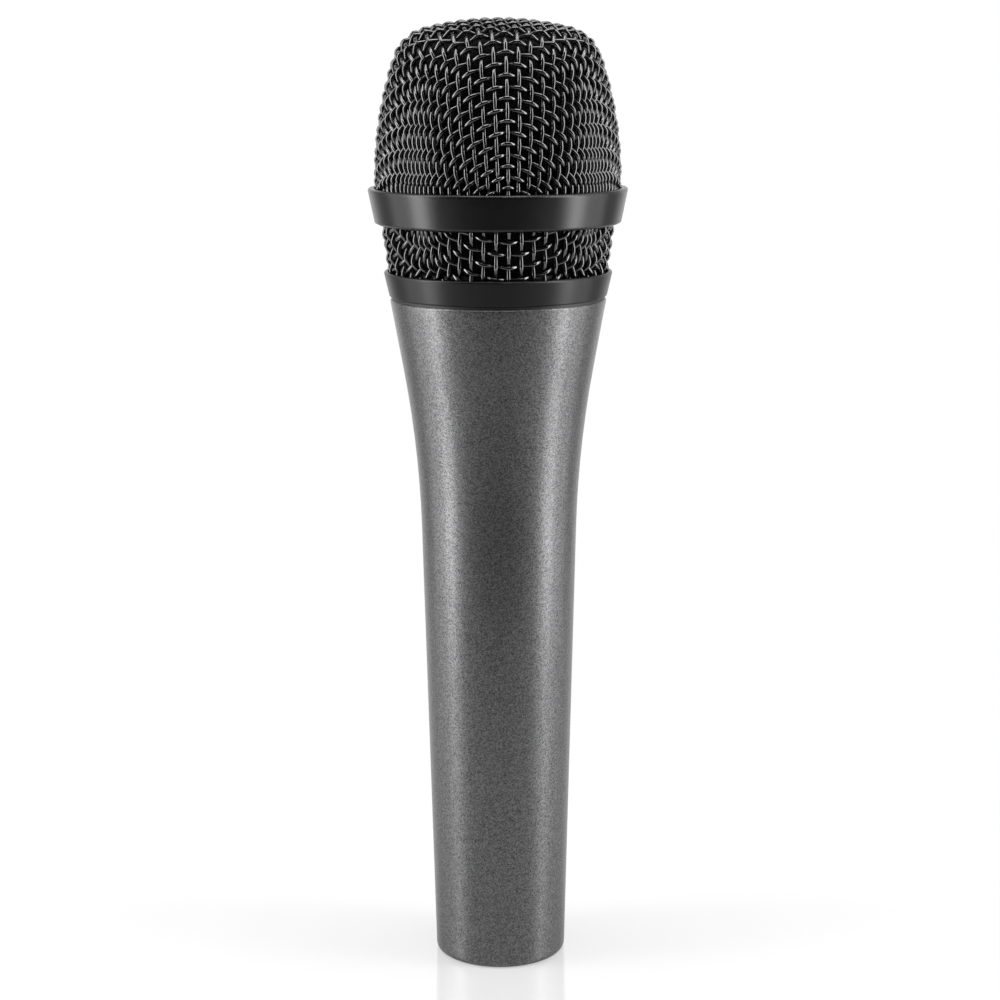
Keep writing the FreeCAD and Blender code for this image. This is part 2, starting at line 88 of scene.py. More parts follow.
class ClothSettings(bpy.types.PropertyGroup):
    """The wire cloth of the grille."""

    wire: length("Wire", "Diameter of the painted wire", 0.74 * MM)
    pitch: length("Dome pitch", "Distance between crossings in the flat cloth of the dome", 2.27 * MM)
    bowl_pitch: length("Bowl pitch", "Distance between crossings in the lower bowl's cloth", 2.28 * MM)
    squeeze: FloatProperty(
        name="Squeeze",
        description="How much closer the dome's front and side crossings are pressed, per metre",
        default=1.8,
        min=0.0,
    )
    flare: FloatProperty(
        name="Flare",
        description="How far the dome's blank stands open at its rim, before its wall is pressed upright",
        default=math.radians(38),
        subtype="ANGLE",
    )
    flare_start: length("Flare start", "How far from the crown the blank begins to open", 20 * MM)
    lift: FloatProperty(
        name="Lift",
        description="How far the upright wires wave, in wire radii. The cross wires wave 2 less this",
        default=0.68,
        min=0.0,
        max=1.0,
    )
    sides: IntProperty(name="Sides", description="Sides of a wire's section", default=8, min=3)
    steps: IntProperty(name="Steps", description="Steps of a wire from crossing to crossing", default=5)
    upper_turn: FloatProperty(
        name="Upper turn",
        description="Turn of the dome's middle wire from the front",
        default=math.radians(4.8),
        subtype="ANGLE",
    )
    lower_turn: FloatProperty(
        name="Lower turn",
        description="Turn of the lower bowl's middle wire from the front",
        default=math.radians(5.4),
        subtype="ANGLE",
    )
    bowl_depth: length("Bowl depth", "Depth of the lower bowl's cut-away floor below the cloth", 3.6 * MM)
    bowl_corner: length("Bowl corner", "Radius of the pressed corner of the lower bowl", 6.0 * MM)
    paint: colour("Wire paint", "Gloss black paint on the wire and rings", (0.0035, 0.0035, 0.0037))


class HandleSettings(bpy.types.PropertyGroup):
    """The handle, its neck and its connector."""

    lacquer: colour("Lacquer", "Dark grey metallic lacquer", (0.118, 0.118, 0.12))
    flake: length("Flake", "Size of a flake in the lacquer", 0.18 * MM)
    thread_pitch: length("Thread pitch", "Rise of the grille's thread in one turn", 1.5 * MM)
    thread_depth: length("Thread depth", "Depth of the neck's thread", 0.45 * MM)


class CapsuleSettings(bpy.types.PropertyGroup):
    """The capsule in its rubber rings."""

    hum_wire: length("Hum coil wire", "Diameter of the hum coil's wire", 0.3 * MM)
    voice_wire: length("Voice coil wire", "Diameter of the voice coil's wire", 0.12 * MM)
    copper: colour("Copper", "Enamelled copper wire", (0.62, 0.25, 0.11))


class StageSettings(bpy.types.PropertyGroup):
    """The floor, the lamps and the camera."""

    camera_place: FloatVectorProperty(
        name="Camera", description="Where the camera stands", default=(0.0005, -0.4371, 0.1771),
        subtype="TRANSLATION", unit="LENGTH",
    )
    camera_fall: FloatProperty(
        name="Camera fall", description="How far the camera looks below level",
        default=math.radians(11.3), subtype="ANGLE",
    )
    camera_roll: FloatProperty(
        name="Camera roll", description="Roll of the camera about its view", default=math.radians(0.2),
        subtype="ANGLE",
    )
    lens: FloatProperty(
        name="Lens", description="Focal length in millimetres", default=84.15, unit="CAMERA",
    )
    floor: colour("Floor", "Pale glossy floor", (0.36, 0.36, 0.36))
    floor_front: length("Floor front", "How far the floor runs in front of the microphone", 0.24)
    floor_side: length("Floor side", "How far the floor runs to each side", 0.26)
    floor_back: length("Floor back", "How far the floor runs behind the microphone", 0.6)
    floor_glow: FloatProperty(
        name="Floor glow", description="Light that the floor adds to what it shows the camera",
        default=0.455, min=0.0,
    )
    fade_start: length("Fade start", "How far from the foot the floor begins to turn plain white", 0.05)
    fade_end: length("Fade end", "How far from the foot the floor is plain white", 0.15)


SETTINGS = {
    "mic_cloth": ClothSettings,
    "mic_handle": HandleSettings,
    "mic_capsule": CapsuleSettings,
    "mic_stage": StageSettings,
}


# ---- meshes ---------------------------------------------------------------------------------------


def finished(name, body, material, mesh):
    """A new piece with its mesh and finish, riding on a body."""
    piece = bpy.data.objects.new(name, mesh)
    bpy.context.scene.collection.objects.link(piece)
    mesh.materials.clear()
    mesh.materials.append(material)
    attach(piece, body)
    return piece


def paint_nodes(material, *names):
    """Gives carried-over nodes their material."""
    for name in names:
        NODES[name].data.materials.clear()
        NODES[name].data.materials.append(material)


def profile(node):
    """Every (radius, height) that a turned node's vertices have."""
    spots = {(round(math.hypot(v.co.x, v.co.y), 7), round(v.co.z, 7)) for v in NODES[node].data.vertices}
    return sorted(spots)


def outer_line(node):
    """The convex outside of a turned node's section, from its top down, as (radius, height) rows."""
    hull = []
    for spot in sorted(profile(node), key=lambda rz: (-rz[1], rz[0])):
        while len(hull) > 1:
            (r0, z0), (r1, z1) = hull[-2], hull[-1]
            if (r1 - r0) * (spot[1] - z0) - (z1 - z0) * (spot[0] - r0) < 0:
                break
            hull.pop()
        hull.append(spot)
    return np.array(hull)


def grid_mesh(name, rows, closed_rows=True):
    """A smooth mesh through equal rows of points. Rows are closed, and the last can meet the first."""
    count, across = len(rows), len(rows[0])
    verts = [tuple(p) for row in rows for p in row]
    last = count if closed_rows else count - 1
    faces = []
    for i in range(last):
        for j in range(across):
            a, b = i * across, (i + 1) % count * across
            k = (j + 1) % across
            faces.append((a + j, a + k, b + k, b + j))
    mesh = bpy.data.meshes.new(name)
    mesh.from_pydata(verts, [], faces)
    shell = bmesh.new()
    shell.from_mesh(mesh)
    bmesh.ops.recalc_face_normals(shell, faces=shell.faces)
    shell.to_mesh(mesh)
    shell.free()
    mesh.shade_smooth()
    return mesh


def joined_copy(node):
    """A copy of a carried-over node's mesh with its loose triangles joined."""
    mesh = NODES[node].data.copy()
    shell = bmesh.new()
    shell.from_mesh(mesh)
    bmesh.ops.remove_doubles(shell, verts=shell.verts, dist=1e-6)
    shell.to_mesh(mesh)
    shell.free()
    return mesh


# ---- geometry node trees --------------------------------------------------------------------------


def new_tree(name, inputs):
    """A geometry node tree with named inputs, and its group's input and output nodes."""
    tree = bpy.data.node_groups.new(name, "GeometryNodeTree")
    tree.interface.new_socket("Geometry", in_out="OUTPUT", socket_type="NodeSocketGeometry")
    for label, kind in [("Geometry", "Geometry"), *inputs]:
        tree.interface.new_socket(label, in_out="INPUT", socket_type="NodeSocket" + kind)
    return tree, tree.nodes.new("NodeGroupInput"), tree.nodes.new("NodeGroupOutput")


def add(tree, kind, links=None, values=None, **settings):
    """A node with its settings, its sockets' values and the sockets that feed it."""
    made = tree.nodes.new(kind)
    for key, value in settings.items():
        setattr(made, key, value)
    for key, value in (values or {}).items():
        made.inputs[key].default_value = value
    for key, source in (links or {}).items():
        tree.links.new(source, made.inputs[key])
    return made


def finish_tree(tree, start, end, geometry):
    """The last nodes of every tree: real geometry, smooth, in its material."""
    smooth = add(tree, "GeometryNodeSetShadeSmooth", {"Geometry": geometry})
    real = add(tree, "GeometryNodeRealizeInstances", {"Geometry": smooth.outputs["Geometry"]})
    coated = add(
        tree,
        "GeometryNodeSetMaterial",
        {"Geometry": real.outputs["Geometry"], "Material": start.outputs["Finish"]},
    )
    tree.links.new(coated.outputs["Geometry"], end.inputs["Geometry"])


def woven_wire_tree():
    """Waves each run of crossings over and under along its outward direction, as a round wire."""
    inputs = [("Wire", "Float"), ("Sides", "Int"), ("Steps", "Int"), ("Finish", "Material")]
    tree, start, end = new_tree("Woven wire", inputs)
    named = "GeometryNodeInputNamedAttribute"
    outward = add(tree, named, values={"Name": "outward"}, data_type="FLOAT_VECTOR")
    over = add(tree, named, values={"Name": "over"}, data_type="FLOAT")
    radius = add(
        tree, "ShaderNodeMath", {0: start.outputs["Wire"]}, {1: 0.5}, operation="MULTIPLY"
    ).outputs[0]
    rise = add(
        tree, "ShaderNodeMath", {0: over.outputs["Attribute"], 1: radius}, operation="MULTIPLY"
    ).outputs[0]
    shift = add(
        tree, "ShaderNodeVectorMath", {0: outward.outputs["Attribute"], "Scale": rise}, operation="SCALE"
    )
    runs = add(tree, "GeometryNodeMeshToCurve", {"Mesh": start.outputs["Geometry"]})
    waved = add(
        tree,
        "GeometryNodeSetPosition",
        {"Geometry": runs.outputs["Curve"], "Offset": shift.outputs["Vector"]},
    )
    smooth = add(
        tree,
        "GeometryNodeCurveSplineType",
        {"Curve": waved.outputs["Geometry"]},
        spline_type="CATMULL_ROM",
    )
    fine = add(
        tree,
        "GeometryNodeSetSplineResolution",
        {"Geometry": smooth.outputs["Curve"], "Resolution": start.outputs["Steps"]},
    )
    circle = add(
        tree, "GeometryNodeCurvePrimitiveCircle", {"Resolution": start.outputs["Sides"], "Radius": radius}
    )
    tube = add(
        tree,
        "GeometryNodeCurveToMesh",
        {"Curve": fine.outputs["Geometry"], "Profile Curve": circle.outputs["Curve"]},
        {"Fill Caps": True},
    )
    finish_tree(tree, start, end, tube.outputs["Mesh"])
    return tree


def winding_tree():
    """A single layer of wire wound on a coil."""
    inputs = [("Radius", "Float"), ("Foot", "Float"), ("Height", "Float"), ("Wire", "Float"),
              ("Finish", "Material")]
    tree, start, end = new_tree("Winding", inputs)
    turns = add(
        tree,
        "ShaderNodeMath",
        {0: start.outputs["Height"], 1: start.outputs["Wire"]},
        operation="DIVIDE",
    )
    helix = add(
        tree,
        "GeometryNodeCurveSpiral",
        {
            "Rotations": turns.outputs[0],
            "Start Radius": start.outputs["Radius"],
            "End Radius": start.outputs["Radius"],
            "Height": start.outputs["Height"],
        },
        {"Resolution": 48},
    )
    lift = add(tree, "ShaderNodeCombineXYZ", {"Z": start.outputs["Foot"]})
    placed = add(
        tree,
        "GeometryNodeTransform",
        {"Geometry": helix.outputs["Curve"], "Translation": lift.outputs["Vector"]},
    )
    half = add(tree, "ShaderNodeMath", {0: start.outputs["Wire"]}, {1: 0.5}, operation="MULTIPLY")
    circle = add(tree, "GeometryNodeCurvePrimitiveCircle", {"Radius": half.outputs[0]}, {"Resolution": 6})
    tube = add(
        tree,
        "GeometryNodeCurveToMesh",
        {"Curve": placed.outputs["Geometry"], "Profile Curve": circle.outputs["Curve"]},
        {"Fill Caps": True},
    )
    finish_tree(tree, start, end, tube.outputs["Mesh"])
    return tree


def grown(name, mesh, tree, values):
    """The plain mesh that a node tree makes of a mesh."""
    carrier = bpy.data.objects.new(name, mesh)
    bpy.context.scene.collection.objects.link(carrier)
    modifier = carrier.modifiers.new(name, "NODES")
    modifier.node_group = tree
    for item in tree.interface.items_tree:
        if item.item_type == "SOCKET" and item.in_out == "INPUT" and item.name in values:
            modifier[item.identifier] = values[item.name]
    graph = bpy.context.evaluated_depsgraph_get()
    result = bpy.data.meshes.new_from_object(carrier.evaluated_get(graph))
    carrier.modifiers.clear()
    bpy.data.objects.remove(carrier)
    result.name = name
    return result


# ---- the woven cloth's net ------------------------------------------------------------------------

BIAS_SHAPE = 1.35  # how quickly the cloth is spared from crimping between its wires' own directions
MIDDLE_SQUEEZE = 0.6  # the crimp of the blank's own meridian, as a share of the full one


class Bowl:
    """A surface of revolution, held as its meridian from the pole outwards."""

    samples = 3000

    def __init__(self, outline, outside):
        """outline is (radius, height) rows from the pole, and outside is +1 if the pole is on top."""
        run = np.concatenate(([0.0], np.cumsum(np.hypot(*np.diff(outline, axis=0).T))))
        self.reach = np.linspace(0.0, run[-1], self.samples)
        self.radius = np.interp(self.reach, run, outline[:, 0])
        self.height = np.interp(self.reach, run, outline[:, 1])
        self.widening = np.gradient(self.radius, self.reach)
        self.rising = np.gradient(self.height, self.reach)
        self.outside = outside

    def read(self, row, reach):
        return float(np.interp(reach, self.reach, row))

    def point(self, reach, turn):
        radius = self.read(self.radius, reach)
        return np.array([radius * math.cos(turn), radius * math.sin(turn), self.read(self.height, reach)])

    def slopes(self, reach, turn):
        """How a point moves with its reach, and with its turn."""
        wide, rise = self.read(self.widening, reach), self.read(self.rising, reach)
        radius = self.read(self.radius, reach)
        along = np.array([wide * math.cos(turn), wide * math.sin(turn), rise])
        round_it = np.array([-radius * math.sin(turn), radius * math.cos(turn), 0.0])
        return along, round_it

    def outward(self, reach, turn):
        wide, rise = self.read(self.widening, reach), self.read(self.rising, reach)
        flat = -rise * self.outside
        return np.array([flat * math.cos(turn), flat * math.sin(turn), wide * self.outside])

    def nearest(self, spot):
        radius = math.hypot(spot[0], spot[1])
        index = np.argmin((self.radius - radius) ** 2 + (self.height - spot[2]) ** 2)
        return float(self.reach[index]), math.atan2(spot[1], spot[0])


def next_crossing(bowl, left, right, behind, pitch):
    """The place one pitch from two crossings, on the far side from the one behind them."""
    reach, turn = bowl.nearest(left + right - behind)
    for _ in range(25):
        spot = bowl.point(reach, turn)
        to_left, to_right = spot - left, spot - right
        miss = np.array([to_left @ to_left - pitch**2, to_right @ to_right - pitch**2])
        if np.abs(miss).max() < 1e-6 * pitch**2:
            inside = 0 < reach < bowl.reach[-1]
            return (reach, turn) if inside and np.linalg.norm(spot - behind) > 0.2 * pitch else None
        along, round_it = bowl.slopes(reach, turn)
        rates = 2 * np.array([[way @ along, way @ round_it] for way in (to_left, to_right)])
        if abs(np.linalg.det(rates)) < 1e-16:
            return None
        step = np.linalg.solve(rates, -miss)
        size = math.hypot(step[0], step[1] * bowl.read(bowl.radius, reach))
        step *= min(1.0, 0.5 * pitch / max(size, 1e-12))
        reach, turn = reach + step[0], turn + step[1]
    return None


def quarter_net(bowl, pitch):
    """Crossings of a quarter of a square cloth on a bowl, its pitch kept, as (i, j): (reach, turn)."""
    count = int(bowl.reach[-1] / pitch)
    places = {(i, 0): (i * pitch, 0.0) for i in range(count)}
    places.update({(0, j): (j * pitch, math.pi / 2) for j in range(count)})
    spots = {key: bowl.point(*place) for key, place in places.items()}
    for total in range(2, 2 * count):
        for i in range(1, total):
            j = total - i
            before = [(i - 1, j), (i, j - 1), (i - 1, j - 1)]
            if any(key not in spots for key in before):
                continue
            place = next_crossing(bowl, *(spots[key] for key in before), pitch)
            if place:
                places[i, j] = place
                spots[i, j] = bowl.point(*place)
    return places


def pressed(reach, turn, squeeze):
    """How far from the pole a crossing ends up. Wires crimp tighter outwards, but not at 45 degrees."""
    bias = abs(math.sin(2 * turn)) ** BIAS_SHAPE
    return reach * (1 - squeeze * (1 - bias) * reach)


def open_blank(bowl, squeeze, flare, start):
    """The more open bowl that cloth is drawn to, before its wall is pressed upright."""
    last = (1 - math.sqrt(1 - 4 * squeeze * bowl.reach[-1])) / (2 * squeeze)
    reach = np.linspace(0.0, last, bowl.samples)
    done = reach * (1 - MIDDLE_SQUEEZE * squeeze * reach)
    fall = np.interp(done, bowl.reach, np.arctan2(-bowl.rising, bowl.widening))
    share = np.clip((done - start) / (bowl.reach[-1] - start), 0, 1)
    fall -= flare * share**2 * (3 - 2 * share)
    steps = np.diff(reach)
    radius = np.concatenate(([0.0], np.cumsum(np.cos(fall[1:]) * steps)))
    height = -np.concatenate(([0.0], np.cumsum(np.sin(fall[1:]) * steps)))
    return Bowl(np.column_stack((radius, height)), bowl.outside)


def cloth_runs(bowl, quarter, turn, low, high, lift):
    """Both ways' wires of a whole cloth between two heights, each a run of (place, outward, over)."""
    size = 1 + max(max(key) for key in quarter)
    whole = {}
    for (i, j), (reach, angle) in quarter.items():
        for a, b in {(1, 1), (-1, 1), (1, -1), (-1, -1)}:
            mirrored = math.atan2(b * math.sin(angle), a * math.cos(angle))
            whole[a * i, b * j] = (reach, mirrored + turn)
    ways = []
    for swap in (False, True):
        runs = []
        for line in range(-size, size + 1):
            run, last = [], None
            for step in range(-size, size + 1):
                key = (line, step) if swap else (step, line)
                here = whole.get(key)
                if here:
                    over = (1 if (line + step) % 2 else -1) * (2 - lift if swap else -lift)
                    here = (bowl.point(*here), bowl.outward(*here), over)
                inside = here and low <= here[0][2] <= high
                if last and here and (inside != bool(run)):
                    limit = low if min(last[0][2], here[0][2]) < low else high
                    share = (limit - last[0][2]) / (here[0][2] - last[0][2])
                    cut = tuple(a + (b - a) * share for a, b in zip(last, here))
                    run.append(cut)
                if inside:
                    run.append(here)
                elif run:
                    if len(run) > 2:
                        runs.append(run)
                    run = []
                last = here
        ways.append(runs)
    return ways


def runs_mesh(name, runs):
    """A mesh of bare edges that carries each crossing's outward direction and side."""
    flat = [stop for run in runs for stop in run]
    edges, first = [], 0
    for run in runs:
        edges += [(first + k, first + k + 1) for k in range(len(run) - 1)]
        first += len(run)
    mesh = bpy.data.meshes.new(name)
    mesh.from_pydata([tuple(stop[0]) for stop in flat], edges, [])
    outward = mesh.attributes.new("outward", "FLOAT_VECTOR", "POINT")
    outward.data.foreach_set("vector", np.array([stop[1] for stop in flat], np.float32).ravel())
    over = mesh.attributes.new("over", "FLOAT", "POINT")
    over.data.foreach_set("value", np.array([stop[2] for stop in flat], np.float32))
    return mesh


def inset(outline, depth):
    """A line moved to its inner side, square to itself."""
    along = np.gradient(outline, axis=0)
    along /= np.hypot(along[:, :1], along[:, 1:])
    return outline + depth * np.column_stack((along[:, 1], -along[:, 0]))


def evenly(outline, count=800):
    """The same line with its points evenly spaced."""
    run = np.concatenate(([0.0], np.cumsum(np.hypot(*np.diff(outline, axis=0).T))))
    spots = np.linspace(0, run[-1], count)
    return np.column_stack([np.interp(spots, run, outline[:, k]) for k in (0, 1)])


# ---- materials ------------------------------------------------------------------------------------


def new_material(name, **sockets):
    """A material whose shader has constant sockets set, and its tree."""
    material = bpy.data.materials.new(name)
    material.use_nodes = True
    shader = material.node_tree.nodes["Principled BSDF"]
    for key, value in sockets.items():
        shader.inputs[key.replace("_", " ").title().replace("Ior", "IOR")].default_value = value
    return material, material.node_tree, shader


def place(tree, scale=(1, 1, 1)):
    """Object coordinates, stretched."""
    spot = tree.nodes.new("ShaderNodeTexCoord")
    mapped = add(tree, "ShaderNodeMapping", {"Vector": spot.outputs["Object"]}, {"Scale": scale})
    return mapped.outputs["Vector"]


def grain(tree, where, size, detail=2.0, rough=0.5):
    """Noise whose lumps are about size across."""
    made = add(
        tree,
        "ShaderNodeTexNoise",
        {"Vector": where},
        {"Scale": 1 / size, "Detail": detail, "Roughness": rough},
    )
    return made.outputs["Fac"]


def spread(tree, value, low, high, start=0.0, end=1.0):
    """A value's range start to end, mapped to low to high."""
    made = add(
        tree,
        "ShaderNodeMapRange",
        {"Value": value},
        {"From Min": start, "From Max": end, "To Min": low, "To Max": high},
    )
    return made.outputs["Result"]


def two_tone(tree, amount, dark, light):
    """A colour between two."""
    made = add(tree, "ShaderNodeMix", {"Factor": amount}, data_type="RGBA")
    made.inputs["A"].default_value = (*dark, 1)
    made.inputs["B"].default_value = (*light, 1)
    return made.outputs["Result"]


def bump(tree, shader, height, depth, strength=1.0, edge=0.0):
    """A height over the shader's surface, depth metres at 1. Edges catch the light as if rounded."""
    made = add(
        tree, "ShaderNodeBump", {"Height": height}, {"Strength": strength, "Distance": depth}
    )
    if edge:
        rounded = add(tree, "ShaderNodeBevel", values={"Radius": edge}, samples=6)
        tree.links.new(rounded.outputs["Normal"], made.inputs["Normal"])
    tree.links.new(made.outputs["Normal"], shader.inputs["Normal"])


def shades(rgb, low, high):
    """A darker and a lighter colour of the same hue."""
    return tuple(c * low for c in rgb), tuple(min(c * high, 1) for c in rgb)


def metallic_lacquer(name, rgb, flake):
    """Dark lacquer full of fine flakes, each with its own brightness and tilt."""
    material, tree, shader = new_material(
        name, metallic=0.88, roughness=0.38, coat_weight=0.4, coat_roughness=0.2
    )
    where = place(tree)
    cells = add(tree, "ShaderNodeTexVoronoi", {"Vector": where}, {"Scale": 1 / flake, "Randomness": 1.0})
    parts = add(tree, "ShaderNodeSeparateColor", {"Color": cells.outputs["Color"]})
    soft = spread(tree, grain(tree, where, 1.4 * flake, detail=2.0), 0.65, 1.35)
    mixed = add(
        tree, "ShaderNodeMath", {0: parts.outputs["Red"], 1: soft}, operation="MULTIPLY"
    ).outputs[0]
    dark, light = shades(rgb, 0.5, 1.95)
    tone = two_tone(tree, mixed, dark, light)
    tree.links.new(tone, shader.inputs["Base Color"])
    tree.links.new(spread(tree, parts.outputs["Green"], 0.32, 0.42), shader.inputs["Roughness"])
    bump(tree, shader, parts.outputs["Blue"], 0.012 * MM, 0.35, edge=0.6 * MM)
    return material


def gloss_paint(name, rgb, roughness, specular, ior=1.5, edge=0.0):
    """Smooth sprayed paint with a trace of orange peel."""
    material, tree, shader = new_material(
        name, roughness=roughness, specular_ior_level=specular, ior=ior
    )
    where = place(tree)
    peel = grain(tree, where, 0.9 * MM, detail=3.0)
    tree.links.new(two_tone(tree, peel, *shades(rgb, 0.8, 1.25)), shader.inputs["Base Color"])
    gloss = spread(tree, grain(tree, where, 4 * MM), roughness - 0.03, roughness + 0.04)
    tree.links.new(gloss, shader.inputs["Roughness"])
    bump(tree, shader, peel, 0.004 * MM, 0.3, edge)
    return material


def moulded(name, rgb, roughness=0.5, size=0.25 * MM, depth=0.01 * MM):
    """Moulded plastic or rubber with a fine grain."""
    material, tree, shader = new_material(name, roughness=roughness)
    where = place(tree)
    fine = grain(tree, where, size, detail=3.0)
    patchy = two_tone(tree, grain(tree, where, 3 * MM), *shades(rgb, 0.85, 1.2))
    tree.links.new(patchy, shader.inputs["Base Color"])
    tree.links.new(spread(tree, fine, roughness - 0.06, roughness + 0.08), shader.inputs["Roughness"])
    bump(tree, shader, fine, depth, 0.6)
    return material


def turned_metal(name, rgb, roughness=0.3, lines=0.12 * MM):
    """Bare metal with the fine rings that a lathe leaves round Z."""
    material, tree, shader = new_material(name, metallic=1.0, roughness=roughness)
    rings = grain(tree, place(tree, (0.03, 0.03, 1.0)), lines, detail=2.0)
    worn = grain(tree, place(tree), 1.5 * MM, detail=4.0)
    tree.links.new(two_tone(tree, worn, *shades(rgb, 0.8, 1.15)), shader.inputs["Base Color"])
    tree.links.new(spread(tree, rings, roughness - 0.08, roughness + 0.12), shader.inputs["Roughness"])
    bump(tree, shader, rings, 0.006 * MM, 0.5)
    return material


def open_foam(name, rgb):
    """Open-celled foam: pores painted darker as shade in their hollows, between thin lighter walls."""
    material, tree, shader = new_material(name, roughness=0.95, specular_ior_level=0.2)
    pore = 0.55 * MM
    cells = add(
        tree,
        "ShaderNodeTexVoronoi",
        {"Vector": place(tree)},
        {"Scale": 1 / pore},
        feature="DISTANCE_TO_EDGE",
    )
    # Painted shade: 1 on the cell walls and 0 in the pores. The colour below darkens the pores to a quarter
    # of the foam's black as if shaded, and lightens the walls. The bump also raises the walls.
    walls_and_pore_shade = spread(tree, cells.outputs["Distance"], 1.0, 0.0, 0.02, 0.3)
    tree.links.new(two_tone(tree, walls_and_pore_shade, *shades(rgb, 0.25, 1.6)), shader.inputs["Base Color"])
    bump(tree, shader, walls_and_pore_shade, 0.15 * MM, 0.8)
    return material


def woven_cloth(name, rgb, pitch):
    """Fine technical cloth, its two threads crossing along X and Y."""
    material, tree, shader = new_material(name, roughness=0.75, sheen_weight=0.2)
    where = place(tree)
    threads = []
    for way in ("X", "Y"):
        wave = add(
            tree,
            "ShaderNodeTexWave",
            {"Vector": where},
            {"Scale": 1 / (2 * math.pi * pitch) * 1.9, "Distortion": 0.0},
            bands_direction=way,
        )
        threads.append(wave.outputs["Fac"])
    crossed = add(tree, "ShaderNodeMath", {0: threads[0], 1: threads[1]}, operation="MULTIPLY").outputs[0]
    tree.links.new(two_tone(tree, crossed, *shades(rgb, 0.35, 1.5)), shader.inputs["Base Color"])
    bump(tree, shader, crossed, 0.05 * MM, 0.7)
    return material


def enamelled(name, rgb):
    """Varnished copper wire."""
    material, tree, shader = new_material(
        name, metallic=0.85, roughness=0.28, coat_weight=0.6, coat_roughness=0.15
    )
    streaks = grain(tree, place(tree), 0.7 * MM, detail=3.0)
    tree.links.new(two_tone(tree, streaks, *shades(rgb, 0.7, 1.25)), shader.inputs["Base Color"])
    tree.links.new(spread(tree, streaks, 0.22, 0.36), shader.inputs["Roughness"])
    return material


# ---- operators ------------------------------------------------------------------------------------


class MIC_OT_handle(bpy.types.Operator):
    """Lacquer the handle, and thread its neck"""

    bl_idname = "mic.handle"
    bl_label = "Handle"

    def execute(self, context):
        sizes = context.scene.mic_handle
        paint_nodes(metallic_lacquer("grey lacquer", tuple(sizes.lacquer), sizes.flake), "handle_shell")
        paint_nodes(moulded("black nylon", (0.02, 0.02, 0.02), 0.45), "slip_washer")
        metal = turned_metal("blackened zinc", (0.05, 0.05, 0.052), 0.38)
        ring = finished("neck_thread", "handle", metal, self.neck(sizes))
        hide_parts("neck_ring")
        return {"FINISHED"}

    def neck(self, sizes):
        """The neck ring's section, spun with a real thread between its relief and its lead-in."""
        spots = profile("neck_ring")
        bore, thread = spots[0][0], spots[-1][0]
        bottom, top = min(z for _, z in spots), max(z for _, z in spots)
        spigot = max(r for r, z in spots if z == bottom)
        seat = max(z for r, z in spots if r == spigot)
        relief = min(r for r, z in spots if z == seat and r > spigot)
        first = max(z for r, z in spots if r == relief)
        last = max(z for r, z in spots if r == thread)
        lead = max(r for r, z in spots if z == top)
        around, rows = 180, 56
        root = thread - sizes.thread_depth
        turns = [2 * math.pi * k / around for k in range(around)]

        def plain(radius, height):
            return [(radius * math.cos(t), radius * math.sin(t), height) for t in turns]

        section = [plain(bore, bottom), plain(spigot, bottom), plain(spigot, seat), plain(relief, seat)]
        for row in range(rows + 1):
            share = row / rows
            height = first + (last - first) * share
            fade = min(1.0, 6 * share, 6 * (1 - share))
            ring = []
            for t in turns:
                phase = (height / sizes.thread_pitch - t / (2 * math.pi)) % 1.0
                crest = min(1.0, max(0.0, 1.25 - 2.9 * abs(phase - 0.5)))
                radius = root + sizes.thread_depth * crest * fade
                ring.append((radius * math.cos(t), radius * math.sin(t), height))
            section.append(ring)
        section += [plain(lead, top), plain(bore, top)]
        return grid_mesh("neck_thread", section)


class MIC_OT_connector(bpy.types.Operator):
    """Finish the connector in the foot of the handle"""

    bl_idname = "mic.connector"
    bl_label = "Connector"

    def execute(self, context):
        paint_nodes(moulded("black insert", (0.016, 0.016, 0.018), 0.42), "connector_insert")
        plating = turned_metal("plated contacts", (0.86, 0.80, 0.66), 0.18, 0.08 * MM)
        paint_nodes(plating, "contact_pin_1", "contact_pin_2", "contact_pin_3")
        paint_nodes(turned_metal("blackened steel", (0.16, 0.16, 0.17), 0.35), "lock_screw")
        paint_nodes(turned_metal("spring brass", (0.75, 0.58, 0.28), 0.3), "ground_spring")
        return {"FINISHED"}


